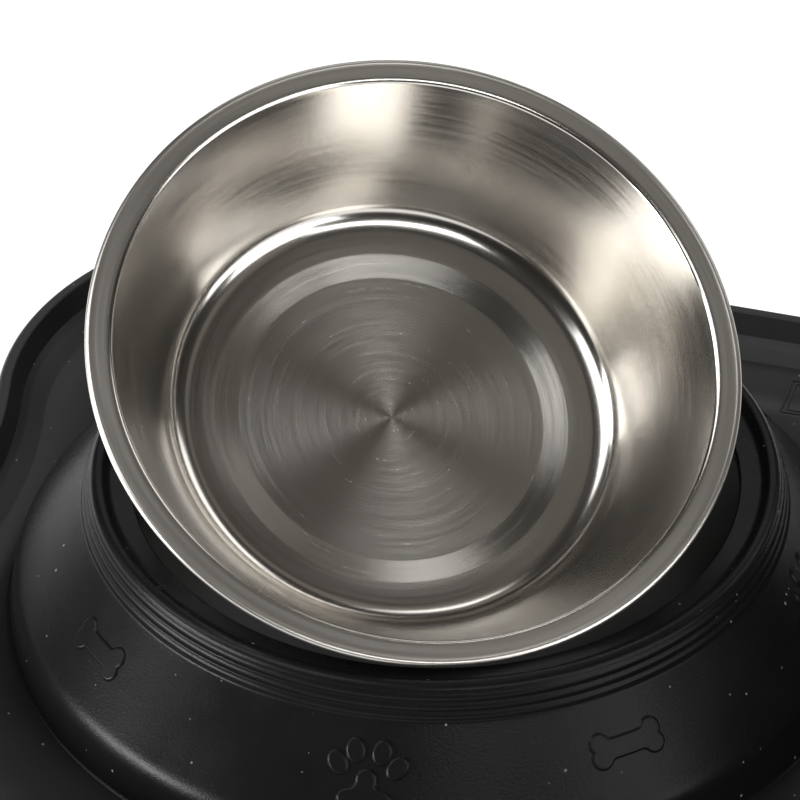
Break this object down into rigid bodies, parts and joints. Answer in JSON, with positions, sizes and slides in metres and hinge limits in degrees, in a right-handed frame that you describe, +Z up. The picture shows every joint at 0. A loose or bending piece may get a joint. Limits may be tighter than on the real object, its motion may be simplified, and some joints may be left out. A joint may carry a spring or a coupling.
{
  "type": "double pet bowl",
  "caption": "Flanged spun steel bowls that drop into the raised ribbed holders of a bone-shaped silicone spill mat with a lip.",
  "frame": {"origin": "centre of the mat's flat underside, on the table", "axes": "+X along the mat from the left holder to the right holder, +Y towards the mat's back edge, where the bare frame is, +Z up"},
  "size_m": [0.4862, 0.28, 0.1212],
  "materials": {
    "silicone": "satin black silicone",
    "silicone_tray": "satin dark grey silicone",
    "steel": "spun and brushed in circles"
  },
  "bodies": {
    "mat": {"mat_tray": "silicone_tray", "left_holder": "silicone", "right_holder": "silicone"},
    "left_bowl": {"left_bowl": "steel"},
    "right_bowl": {"right_bowl": "steel"}
  },
  "joints": [
    {"name": "left_bowl_tip", "type": "hinge", "parent": "mat", "child": "left_bowl", "pos_m": [-0.06713, -0.06103, 0.0506], "axis": [0.832, 0.528, 0.1702], "range_deg": [-30.9, 15]},
    {"name": "right_bowl_lift", "type": "slide", "parent": "mat", "child": "right_bowl", "axis": [0, 0, 1], "range_m": [0, 0.06]}
  ]
}
